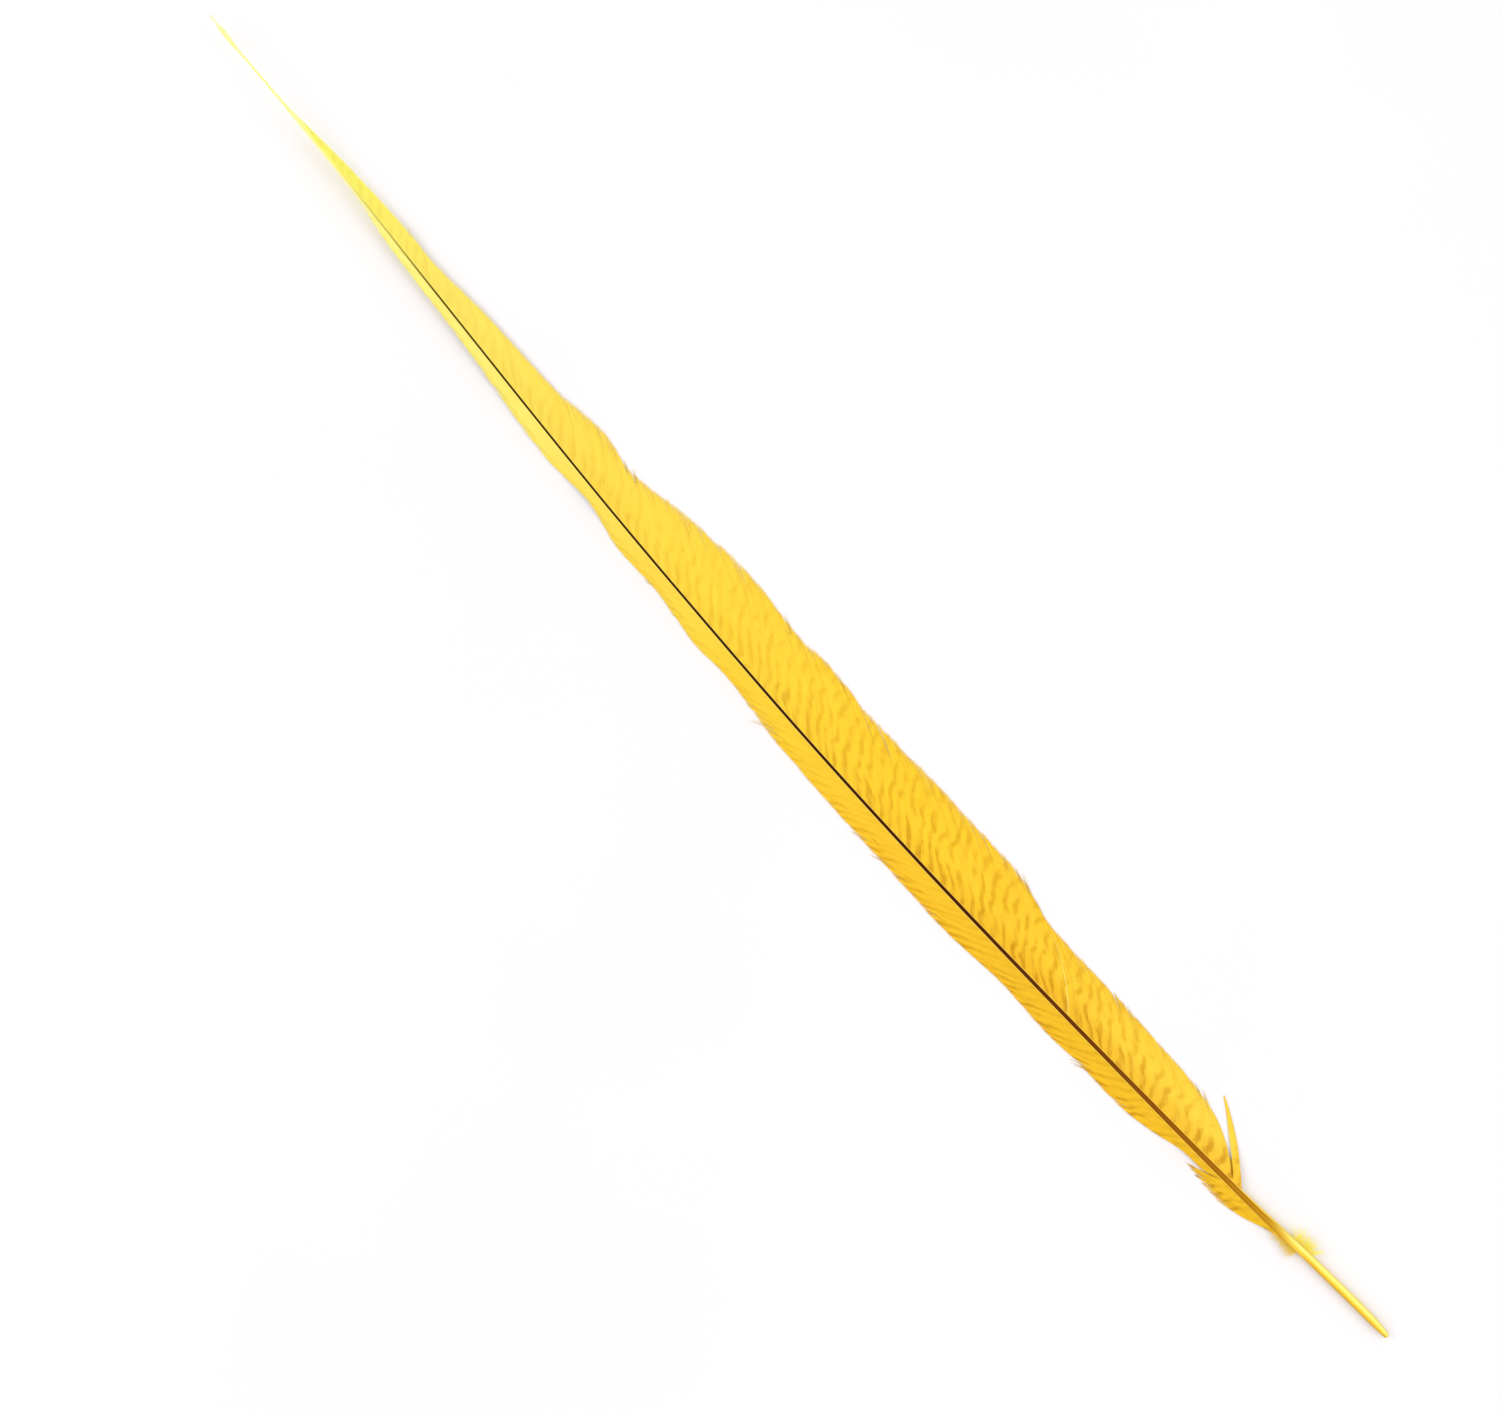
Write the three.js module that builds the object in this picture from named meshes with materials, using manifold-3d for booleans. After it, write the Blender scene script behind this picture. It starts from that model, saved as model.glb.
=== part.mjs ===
// A long, pointed tail feather, dyed yellow, lying on its underside.
// Stations are measured along the shaft from the cut quill end to the tip, in millimetres.
// +X runs from the quill to the tip, +Y to the narrow vane, +Z up. The feather rests on Z = 0.

import * as THREE from "three";
import { mergeVertices } from "three/addons/utils/BufferGeometryUtils.js";
import Module from "manifold-3d";

const { degToRad, lerp, clamp } = THREE.MathUtils;

// Driving dimensions
const LENGTH = 500;
const QUILL_DIAMETER = 2.9;
const WIDE_VANE_REACH = 18.7;
const NARROW_VANE_REACH = 7.8;
const VANE_THICKNESS = 0.45;
const TIP_THICKNESS = 0.2;
const LOCK_RIDGE = 0.15;
const VANE_GAP = 0.08;

// The chord from quill to tip passes this far to the wide side of the feather's middle.
const CHORD_Y = -2.9;

// The vane's arch: it springs from this share of the shaft's half height above its middle,
// and comes down flat on the table at this share of the reach.
const SPRING_SHARE = 0.25;
const TOUCH_SHARE = 0.72;
const ARCH_POWER = 1.3;

// A smooth line through hand-placed [station, value] pairs, level at its ends, peaks and dips.
function profile(pairs) {
  const last = pairs.length - 1;
  const slopes = pairs.map((pair, i) => {
    const before = pairs[Math.max(i - 1, 0)];
    const after = pairs[Math.min(i + 1, last)];
    const level = (pair[1] - before[1]) * (after[1] - pair[1]) <= 0;
    return level ? 0 : (after[1] - before[1]) / (after[0] - before[0]);
  });
  return (station) => {
    const s = clamp(station, pairs[0][0], pairs[last][0]);
    const i = Math.min(pairs.findLastIndex((pair) => pair[0] <= s), last - 1);
    const [s0, v0] = pairs[i];
    const [s1, v1] = pairs[i + 1];
    const run = s1 - s0;
    const t = (s - s0) / run;
    const ease = t * t * (3 - 2 * t);
    const lead = t * (1 - t) * (1 - t) * run * slopes[i];
    const trail = t * t * (t - 1) * run * slopes[i + 1];
    return lerp(v0, v1, ease) + lead + trail;
  };
}

// The shaft: its sideways bow, the height of its middle above the table, and its section
const bow = profile([
  [0, -0.1], [28, 1.35], [60, 4], [100, 6], [150, 8], [190, 9.1], [230, 9.5],
  [280, 8.8], [330, 7.2], [400, 3.4], [445, 0.7], [475, -0.4], [LENGTH, 0],
]);
const shaftHeight = profile([
  [0, QUILL_DIAMETER / 2], [40, 1.6], [120, 2.6], [230, 3.3], [330, 3.6], [420, 4.8], [LENGTH, 7],
]);
const shaftHalfWidth = profile([
  [0, 0.95], [7, QUILL_DIAMETER / 2], [35, QUILL_DIAMETER / 2], [56, 1.1], [100, 0.9],
  [165, 0.72], [300, 0.5], [430, 0.37], [LENGTH, 0.15],
]);
const shaftDepthRatio = profile([[0, 1], [35, 1], [100, 1.25], [LENGTH, 1.1]]);
const shaftHalfHeight = (station) => shaftHalfWidth(station) * shaftDepthRatio(station);
const SHAFT_SIDES = 12;
const SHAFT_STATIONS = 44;
const CROWDING_TO_QUILL = 1.25;
const CUT_SLANT = 2.2;
const PITH_DEPTH = 9;
const QUILL_WALL = 0.35;

// How far the margin of the vanes stands above the table towards the raised tip
const marginLift = profile([[300, 0], [380, 1.1], [440, 2.9], [LENGTH, 6.2]]);

// The reach of each vane from the middle of the shaft to its margin
const wideMargin = profile([
  [83, 12.5], [113, 13.8], [135, 14.3], [152, 14.9], [165, 18], [200, WIDE_VANE_REACH],
  [232, 17.7], [243, WIDE_VANE_REACH], [260, 17.4], [280, 18.3], [305, 15.7], [328, 11.4],
  [339, 12.6], [356, 9.5], [384, 7.6], [407, 4.8], [418, 4.7], [441, 3], [463, 0.8], [LENGTH, 0.4],
]);
const narrowMargin = profile([
  [62, 5.9], [74, 4.4], [79, 3.2], [85, 4.3], [96, 6.6], [119, 6.8], [129, 7.3], [147, 6.6],
  [170, NARROW_VANE_REACH], [203, 7.6], [243, 7], [265, 5.5], [277, 6.4], [296, 4.8],
  [311, 5.4], [328, 3.3], [345, 4.9], [384, 2.9], [420, 2.1], [434, 0.8], [LENGTH, 0.4],
]);

// The barbs leave the shaft at a root angle and lie over to an edge angle at the margin.
const WIDE_BARBS = { side: -1, margin: wideMargin, rootAngle: 44, edgeAngle: 15 };
const NARROW_BARBS = { side: 1, margin: narrowMargin, rootAngle: 24, edgeAngle: 9 };

// One lock at the foot of the wide vane has come loose and stands off from it.
const LOOSE_BARBS = { side: -1, margin: () => 16.1, rootAngle: 44, edgeAngle: 28 };
const LOOSE_LOCK_FOOT = 59;
const LOOSE_LOCK_HELD = 2;

const WIDE_VANE_FOOT = 63;
const NARROW_VANE_FOOT = 46;
const LOBE_TOP = 62;
const LOBE_HELD = 3;
const VANE_TOP = 498;
const LOBE_LOCKS = 3;
const WIDE_LOCKS = 39;
const NARROW_LOCKS = 36;
const WIDE_PARTED = [1, 6];
const NARROW_PARTED_EVERY = 4;

// The rows of points across a lock, as shares of the way from its root to its tip
const ROW_SHARES = [0, 0.2, 0.38, 0.56, 0.76, 0.92];
const LAST_ROW = ROW_SHARES.length - 1;

// A point from its station, its sideways offset from the middle of the bowed shaft and its height
const BOW_STEP = 0.5;

function placed(station, offset, height) {
  const rise = bow(station + BOW_STEP) - bow(station - BOW_STEP);
  const along = new THREE.Vector2(2 * BOW_STEP, rise).normalize();
  const x = station - LENGTH / 2 - offset * along.y;
  const y = bow(station) + CHORD_Y + offset * along.x;
  return new THREE.Vector3(x, y, height);
}

function geometryFrom(points, triangles) {
  const geometry = new THREE.BufferGeometry().setFromPoints(points);
  geometry.setIndex(triangles.flat());
  return geometry;
}

// A closed skin over rings of equal point counts, capped at both ends
function loft(rings) {
  const sides = rings[0].length;
  const points = rings.flat();
  const triangles = [];
  for (let ring = 0; ring < rings.length - 1; ring++) {
    for (let side = 0; side < sides; side++) {
      const a = ring * sides + side;
      const b = ring * sides + ((side + 1) % sides);
      triangles.push([a, b, b + sides], [a, b + sides, a + sides]);
    }
  }
  for (const ring of [0, rings.length - 1]) {
    const middle = new THREE.Vector3();
    rings[ring].forEach((point) => middle.addScaledVector(point, 1 / sides));
    const hub = points.push(middle) - 1;
    for (let side = 0; side < sides; side++) {
      const a = ring * sides + side;
      const b = ring * sides + ((side + 1) % sides);
      triangles.push(ring === 0 ? [hub, b, a] : [hub, a, b]);
    }
  }
  return geometryFrom(points, triangles);
}

// The shaft: a hollow quill, cut off slanting, that runs on as the solid rachis to a fine tip
function shaftRing(station, inset = 0, slant = 0) {
  const ring = [];
  for (let side = 0; side < SHAFT_SIDES; side++) {
    const turn = (side / SHAFT_SIDES) * 2 * Math.PI;
    const across = Math.cos(turn) * (shaftHalfWidth(station) - inset);
    const up = Math.sin(turn) * (shaftHalfHeight(station) - inset);
    const point = placed(station, across, shaftHeight(station) + up);
    point.x += (slant * (1 - Math.sin(turn))) / 2;
    ring.push(point);
  }
  return ring;
}

function shaftGeometry() {
  const rings = [
    shaftRing(PITH_DEPTH, QUILL_WALL),
    shaftRing(0, QUILL_WALL, CUT_SLANT),
    shaftRing(0, 0, CUT_SLANT),
  ];
  for (let i = 1; i <= SHAFT_STATIONS; i++) {
    const share = i / SHAFT_STATIONS;
    rings.push(shaftRing(lerp(CUT_SLANT, LENGTH, share ** CROWDING_TO_QUILL)));
  }
  return loft(rings);
}

// A barb's run towards the tip and out from the shaft, as multiples of its reach
function barbArc(barbs, share) {
  const root = degToRad(barbs.rootAngle);
  const edge = degToRad(barbs.edgeAngle);
  const here = lerp(root, edge, share);
  const span = Math.cos(edge) - Math.cos(root);
  return {
    forward: (Math.sin(root) - Math.sin(here)) / span,
    outward: (Math.cos(here) - Math.cos(root)) / span,
  };
}

// The vane's clear width, from the side of the shaft to the margin
const sideOf = (station) => shaftHalfWidth(station) + VANE_GAP;
const clearWidth = (barbs, station) => barbs.margin(station) - sideOf(station);

// How far out the barb from this root station gets before it meets the margin
const REACH_TOLERANCE = 0.0001;

function reachFrom(barbs, root) {
  const lean = barbArc(barbs, 1).forward;
  let low = 0;
  let high = 2 * WIDE_VANE_REACH;
  while (high - low > REACH_TOLERANCE) {
    const middle = (low + high) / 2;
    if (clearWidth(barbs, root + lean * middle) > middle) low = middle;
    else high = middle;
  }
  return low;
}

function barbPoint(barbs, root, share) {
  const reach = reachFrom(barbs, root);
  const arc = barbArc(barbs, share);
  return { station: Math.min(root + arc.forward * reach, LENGTH), outward: arc.outward * reach };
}

// The vane arches down from the side of the shaft and lies flat along its margin.
function undersideHeight(barbs, station, outward) {
  const reach = Math.max(clearWidth(barbs, station), outward);
  const slope = 1 - Math.min(1, outward / (reach * TOUCH_SHARE));
  const root = shaftHeight(station) + SPRING_SHARE * shaftHalfHeight(station);
  const lift = marginLift(station);
  return Math.max(0, lerp(lift, root, slope ** ARCH_POWER) - VANE_THICKNESS / 2);
}

// A sheet is points with a station, an outward reach and a thickness, joined by triangles.
// Its underside, its top and a wall around its rim close it into a solid.
function solidFromSheet(barbs, sheet, triangles) {
  const under = sheet.map(({ station, outward }) =>
    placed(
      station,
      barbs.side * (sideOf(station) + outward),
      undersideHeight(barbs, station, outward),
    ),
  );
  const over = sheet.map(({ thickness }, i) => {
    const point = under[i].clone();
    point.z += thickness;
    return point;
  });
  const count = sheet.length;
  const turned = barbs.side < 0 ? triangles.map(([a, b, c]) => [a, c, b]) : triangles;
  const faces = [];
  const edges = new Set(turned.flatMap(([a, b, c]) => [`${a},${b}`, `${b},${c}`, `${c},${a}`]));
  for (const [a, b, c] of turned) {
    faces.push([a + count, b + count, c + count], [a, c, b]);
    for (const [from, to] of [[a, b], [b, c], [c, a]]) {
      if (edges.has(`${to},${from}`)) continue;
      faces.push([from, to, to + count], [from, to + count, from + count]);
    }
  }
  return geometryFrom([...under, ...over], faces);
}

// A vane is a row of locks. A lock has a lower edge, a raised middle and an upper edge,
// and ends in a free point. Neighbours share the seam between them up to the row where they part.
// A seam has its barbs, its root station and the row that it is held to.
function vaneGeometry(seams) {
  const sheet = [];
  const triangles = [];
  const add = (barbs, root, share, ridge = 0) => {
    const thickness = lerp(VANE_THICKNESS, TIP_THICKNESS, share) + ridge;
    return sheet.push({ ...barbPoint(barbs, root, share), thickness }) - 1;
  };
  const strip = (left, right) => {
    for (let row = 0; row < LAST_ROW; row++) {
      triangles.push(
        [left[row], right[row], right[row + 1]],
        [left[row], right[row + 1], left[row + 1]],
      );
    }
  };
  const shared = seams.map(({ barbs, root, held }) =>
    ROW_SHARES.slice(0, held + 1).map((share) => add(barbs, root, share)),
  );
  for (let i = 0; i < seams.length - 1; i++) {
    const { barbs } = seams[i];
    const root = (seams[i].root + seams[i + 1].root) / 2;
    const edges = [i, i + 1].map((seam) => {
      const held = ROW_SHARES[seams[seam].held];
      const free = ROW_SHARES.slice(seams[seam].held + 1).map((share) =>
        add(barbs, lerp(seams[seam].root, root, (share - held) / (1 - held)), share),
      );
      return [...shared[seam], ...free];
    });
    const middle = ROW_SHARES.map((share) => add(barbs, root, share, LOCK_RIDGE));
    const tip = add(barbs, root, 1);
    strip(edges[0], middle);
    strip(middle, edges[1]);
    triangles.push(
      [edges[0][LAST_ROW], middle[LAST_ROW], tip],
      [middle[LAST_ROW], edges[1][LAST_ROW], tip],
    );
  }
  return solidFromSheet(seams[0].barbs, sheet, triangles);
}

// A parted seam has come unzipped further in from the margin than the rest.
const heldRow = (parted) => (parted ? LAST_ROW - 1 : LAST_ROW);

function wideSeams() {
  const seams = [
    { barbs: LOOSE_BARBS, root: LOOSE_LOCK_FOOT, held: LAST_ROW },
    { barbs: WIDE_BARBS, root: WIDE_VANE_FOOT, held: LOOSE_LOCK_HELD },
  ];
  for (let lock = 1; lock <= WIDE_LOCKS; lock++) {
    const root = lerp(WIDE_VANE_FOOT, VANE_TOP, lock / WIDE_LOCKS);
    seams.push({ barbs: WIDE_BARBS, root, held: heldRow(WIDE_PARTED.includes(lock)) });
  }
  return seams;
}

function narrowSeams() {
  const seams = [];
  for (let lock = 0; lock < LOBE_LOCKS; lock++) {
    const root = lerp(NARROW_VANE_FOOT, LOBE_TOP, lock / LOBE_LOCKS);
    seams.push({ barbs: NARROW_BARBS, root, held: LAST_ROW - 1 });
  }
  for (let lock = 0; lock <= NARROW_LOCKS; lock++) {
    const root = lerp(LOBE_TOP, VANE_TOP, lock / NARROW_LOCKS);
    const held = lock === 0 ? LOBE_HELD : heldRow(lock % NARROW_PARTED_EVERY === 0);
    seams.push({ barbs: NARROW_BARBS, root, held });
  }
  return seams;
}

// Down: soft plumes that grow from a short pad on the side of the quill, joined into one tuft
const wasm = await Module();
wasm.setup();
const WELD_DISTANCE = 0.0001;

function solidOf(geometry) {
  const merged = mergeVertices(geometry, WELD_DISTANCE);
  return new wasm.Manifold(
    new wasm.Mesh({
      numProp: 3,
      vertProperties: merged.getAttribute("position").array,
      triVerts: new Uint32Array(merged.index.array),
    }),
  );
}

function geometryOf(solid) {
  const mesh = solid.getMesh();
  const geometry = new THREE.BufferGeometry();
  geometry.setAttribute("position", new THREE.BufferAttribute(mesh.vertProperties, 3));
  geometry.setIndex(new THREE.BufferAttribute(mesh.triVerts, 1));
  return geometry;
}

const PLUME_SIDES = 6;
const PLUME_STEPS = 5;
const PLUME_ROOT_RADIUS = 0.34;
const PLUME_TIP_RADIUS = 0.1;
const PLUME_BEND = { forward: 0.25, outward: 0.55, rise: 0.35 };
const PAD_RADIUS = 0.45;
const PAD_OVERRUN = 0.6;
const PAD_STEPS = 2;

// A round rod that tapers along a curve
function taperedRod(curve, steps, sides, radiusAt) {
  const frames = curve.computeFrenetFrames(steps);
  const rings = [];
  for (let step = 0; step <= steps; step++) {
    const share = step / steps;
    const middle = curve.getPointAt(share);
    const ring = [];
    for (let side = 0; side < sides; side++) {
      const turn = (side / sides) * 2 * Math.PI;
      ring.push(
        middle
          .clone()
          .addScaledVector(frames.normals[step], Math.cos(turn) * radiusAt(share))
          .addScaledVector(frames.binormals[step], Math.sin(turn) * radiusAt(share)),
      );
    }
    rings.push(ring);
  }
  return loft(rings);
}

// Each plume is [root station, run towards the tip, run outwards, rise at its end].
// It bends: halfway along it has covered only the plume bend's shares of these runs.
function tuftGeometry(side, plumes) {
  const padOffset = (station) => side * (sideOf(station) + PAD_RADIUS);
  const padEnd = (station) => placed(station, padOffset(station), shaftHeight(station));
  const roots = plumes.map((plume) => plume[0]);
  const pad = new THREE.CatmullRomCurve3([
    padEnd(Math.min(...roots) - PAD_OVERRUN),
    padEnd(Math.max(...roots) + PAD_OVERRUN),
  ]);
  let tuft = solidOf(taperedRod(pad, PAD_STEPS, PLUME_SIDES, () => PAD_RADIUS));
  for (const [root, forward, outward, rise] of plumes) {
    const pointAt = (bend) =>
      placed(
        root + bend.forward * forward,
        padOffset(root) + side * bend.outward * outward,
        shaftHeight(root) + bend.rise * rise,
      );
    const curve = new THREE.CatmullRomCurve3([
      pointAt({ forward: 0, outward: 0, rise: 0 }),
      pointAt(PLUME_BEND),
      pointAt({ forward: 1, outward: 1, rise: 1 }),
    ]);
    const radiusAt = (share) => lerp(PLUME_ROOT_RADIUS, PLUME_TIP_RADIUS, share);
    tuft = tuft.add(solidOf(taperedRod(curve, PLUME_STEPS, PLUME_SIDES, radiusAt)));
  }
  return geometryOf(tuft);
}

const WIDE_SIDE_PLUMES = [
  [31, -2.2, 2.6, 0.6], [32.5, -1, 3.8, 1.5], [34, 0.8, 4.4, 0.2], [35.4, 1.6, 3.6, 1.9],
  [36.8, 3, 4, -0.6], [38, 3.4, 2.8, 1.2], [39, 5, 1.8, 0.4],
];
const NARROW_SIDE_PLUMES = [
  [33, -2.4, 1.4, -0.5], [34.4, -1, 2, 0.4], [35.8, 0.6, 1.8, -0.3], [37.2, 1.6, 1.4, 0.6],
];

// The feather, put together
const keratin = (color, roughness) => new THREE.MeshStandardMaterial({ color, roughness, metalness: 0 });
const feather = new THREE.Group();
const pieces = [
  ["shaft", shaftGeometry(), keratin(0x8a5a14, 0.4)],
  ["wide_vane", vaneGeometry(wideSeams()), keratin(0xfdd22d, 0.65)],
  ["narrow_vane", vaneGeometry(narrowSeams()), keratin(0xf0be1e, 0.65)],
  ["wide_side_down", tuftGeometry(-1, WIDE_SIDE_PLUMES), keratin(0xfff04a, 0.9)],
  ["narrow_side_down", tuftGeometry(1, NARROW_SIDE_PLUMES), keratin(0xfff04a, 0.9)],
];
for (const [name, geometry, material] of pieces) {
  geometry.computeVertexNormals();
  const mesh = new THREE.Mesh(geometry, material);
  mesh.name = name;
  feather.add(mesh);
}

export default feather;
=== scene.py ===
import bpy
import numpy as np
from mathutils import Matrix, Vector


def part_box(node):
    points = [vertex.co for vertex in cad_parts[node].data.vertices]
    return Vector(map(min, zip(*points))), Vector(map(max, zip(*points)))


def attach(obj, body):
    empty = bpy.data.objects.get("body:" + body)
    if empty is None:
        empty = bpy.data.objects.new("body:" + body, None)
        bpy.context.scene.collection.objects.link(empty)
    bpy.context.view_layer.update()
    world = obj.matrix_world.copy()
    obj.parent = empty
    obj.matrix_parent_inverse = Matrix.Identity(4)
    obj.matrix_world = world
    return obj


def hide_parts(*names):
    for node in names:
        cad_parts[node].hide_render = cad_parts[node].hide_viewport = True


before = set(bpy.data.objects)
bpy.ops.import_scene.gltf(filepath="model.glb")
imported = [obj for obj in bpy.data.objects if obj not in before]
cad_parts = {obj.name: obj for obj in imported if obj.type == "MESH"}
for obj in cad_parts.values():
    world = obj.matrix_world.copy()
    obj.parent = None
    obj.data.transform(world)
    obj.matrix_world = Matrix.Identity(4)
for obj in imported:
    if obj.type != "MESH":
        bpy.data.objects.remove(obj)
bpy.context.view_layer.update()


# The shaft
# One piece of keratin. The bare quill is a clear yellow tube, hollow and cut off slanting. It runs on as
# the solid rachis, bowed and tapering, dark brown along its back between pale sides, to a hair-thin tip.

MM = 0.001
shaft_low, shaft_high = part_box("shaft")
LENGTH = (shaft_high.x - shaft_low.x) / MM
CHORD_Y = -2.9
BOW_STEP = 0.5
SHAFT_SIDES = 28
SHAFT_RINGS = 260
CROWDING_TO_QUILL = 1.3
CUT_SLANT = 2.2
HOLLOW_DEPTH = 9
QUILL_WALL = 0.35


def profile(*pairs):
    """A smooth line through (station, value) pairs, level at its ends, peaks and dips."""
    stations, values = np.array(pairs, float).T
    rises = np.diff(values)
    central = (values[2:] - values[:-2]) / (stations[2:] - stations[:-2])
    slopes = np.zeros_like(values)
    slopes[1:-1] = np.where(rises[:-1] * rises[1:] <= 0, 0, central)

    def value_at(station):
        s = np.clip(station, stations[0], stations[-1])
        i = np.clip(np.searchsorted(stations, s, side="right") - 1, 0, len(rises) - 1)
        run = stations[i + 1] - stations[i]
        t = (s - stations[i]) / run
        lead = t * (1 - t) ** 2 * run * slopes[i]
        trail = t * t * (t - 1) * run * slopes[i + 1]
        return values[i] + rises[i] * t * t * (3 - 2 * t) + lead + trail

    return value_at


bow = profile(
    (0, -0.1), (28, 1.35), (60, 4), (100, 6), (150, 8), (190, 9.1), (230, 9.5),
    (280, 8.8), (330, 7.2), (400, 3.4), (445, 0.7), (475, -0.4), (489, -0.66), (LENGTH, -1.3),
)
shaft_height = profile(
    (0, 1.28), (40, 1.5), (120, 2.6), (230, 3.3), (330, 3.6), (420, 4.8), (LENGTH, 7)
)
shaft_half_width = profile(
    (0, 0.9), (7, 1.26), (35, 1.28), (56, 1.1), (100, 0.9),
    (165, 0.72), (300, 0.5), (430, 0.37), (LENGTH, 0.15),
)
shaft_depth_ratio = profile((0, 1), (35, 1), (100, 1.25), (LENGTH, 1.1))


def shaft_half_height(station):
    return shaft_half_width(station) * shaft_depth_ratio(station)


def placed(station, offset, height):
    """A point in metres, from its station, its offset from the middle of the shaft and its height."""
    rise = bow(station + BOW_STEP) - bow(station - BOW_STEP)
    turn = np.arctan2(rise, 2 * BOW_STEP)
    x = station - LENGTH / 2 - offset * np.sin(turn)
    y = bow(station) + CHORD_Y + offset * np.cos(turn)
    return np.stack(np.broadcast_arrays(x, y, height), axis=-1) * MM


def shaft_ring(station, inset=0, slant=0):
    """One ring of the shaft's skin, and where each of its points lies on the shaft."""
    turn = np.arange(SHAFT_SIDES) / SHAFT_SIDES * 2 * np.pi
    half_width = shaft_half_width(station) - inset
    half_height = shaft_half_height(station) - inset
    across = np.cos(turn) * half_width
    points = placed(station, across, shaft_height(station) + np.sin(turn) * half_height)
    points[:, 0] += slant * (1 - np.sin(turn)) / 2 * MM
    place = np.stack([np.full(SHAFT_SIDES, float(station)), np.cos(turn), np.sin(turn)], axis=-1)
    return points, place


def shaft_mesh():
    """The closed skin of the shaft: in through the hollow end, over the cut and along to the tip."""
    rings = [
        shaft_ring(HOLLOW_DEPTH, QUILL_WALL),
        shaft_ring(0, QUILL_WALL, CUT_SLANT),
        shaft_ring(0, 0, CUT_SLANT),
    ]
    shares = np.arange(1, SHAFT_RINGS + 1) / SHAFT_RINGS
    for station in CUT_SLANT + (LENGTH - CUT_SLANT) * shares ** CROWDING_TO_QUILL:
        rings.append(shaft_ring(station))
    points = np.concatenate([ring for ring, _ in rings])
    place = np.concatenate([where for _, where in rings])
    hubs = [rings[0][0].mean(axis=0), rings[-1][0].mean(axis=0)]
    hub_places = [(HOLLOW_DEPTH, 0, 0), (LENGTH, 0, 0)]
    faces = []
    bake_corners = []
    last = len(rings) - 1
    rows = np.linspace(0, 1, last + 3)
    for ring in range(last):
        for side in range(SHAFT_SIDES):
            a = ring * SHAFT_SIDES + side
            b = ring * SHAFT_SIDES + (side + 1) % SHAFT_SIDES
            left, right = side / SHAFT_SIDES, (side + 1) / SHAFT_SIDES
            low, high = rows[ring + 1], rows[ring + 2]
            faces.append((a, b, b + SHAFT_SIDES, a + SHAFT_SIDES))
            bake_corners += [(left, low), (right, low), (right, high), (left, high)]
    for ring, hub_row in ((0, rows[0]), (last, rows[-1])):
        hub = len(points) + (ring == last)
        ring_row = rows[ring + 1]
        for side in range(SHAFT_SIDES):
            a = ring * SHAFT_SIDES + side
            b = ring * SHAFT_SIDES + (side + 1) % SHAFT_SIDES
            corners = [
                (hub, ((side + 0.5) / SHAFT_SIDES, hub_row)),
                (b, ((side + 1) / SHAFT_SIDES, ring_row)),
                (a, (side / SHAFT_SIDES, ring_row)),
            ]
            if ring == last:
                corners.reverse()
            faces.append([corner for corner, _ in corners])
            bake_corners += [bake for _, bake in corners]
    mesh = bpy.data.meshes.new("shaft_skin")
    mesh.from_pydata(np.concatenate([points, hubs]), [], faces)
    mesh.shade_smooth()
    where = mesh.attributes.new("shaft_place", "FLOAT_VECTOR", "POINT")
    where.data.foreach_set("vector", np.concatenate([place, hub_places]).astype(np.float32).ravel())
    bake = mesh.uv_layers.new(name="OFBake")
    bake.data.foreach_set("uv", np.array(bake_corners, np.float32).ravel())
    return mesh


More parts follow.
